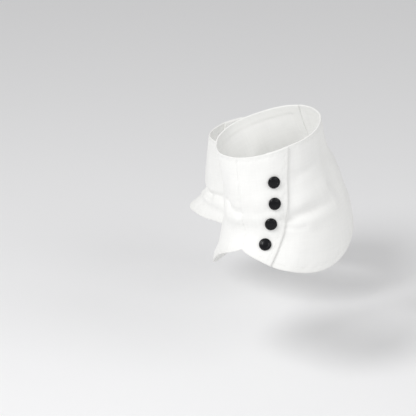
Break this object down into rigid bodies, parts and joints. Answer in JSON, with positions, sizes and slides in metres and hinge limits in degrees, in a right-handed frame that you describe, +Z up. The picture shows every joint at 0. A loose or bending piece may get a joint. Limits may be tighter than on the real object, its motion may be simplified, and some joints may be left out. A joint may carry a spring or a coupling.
{
  "type": "pair of button spats",
  "caption": "Short white cloth spats in their worn shape, open at the top and bottom, each closed by a curved flap with a row of black buttons on the outer side.",
  "frame": {"origin": "centre of the left ankle, in the middle of the left spat's hollow", "axes": "+Z up, -Y the way the wearer faces, +X to the wearer's left"},
  "size_m": [0.276, 0.2284, 0.18],
  "materials": {
    "white_cloth": "white plain-woven cotton cloth with a firm backing, matte",
    "black_button": "black moulded domed button, glossy"
  },
  "bodies": {
    "root": {"left_inner_panel": "white_cloth", "left_front_panel": "white_cloth", "left_back_panel": "white_cloth", "right_inner_panel": "white_cloth", "right_front_panel": "white_cloth", "right_back_panel": "white_cloth", "left_button_1": "black_button", "left_button_2": "black_button", "left_button_3": "black_button", "left_button_4": "black_button", "right_button_1": "black_button", "right_button_2": "black_button", "right_button_3": "black_button", "right_button_4": "black_button"}
  },
  "joints": []
}
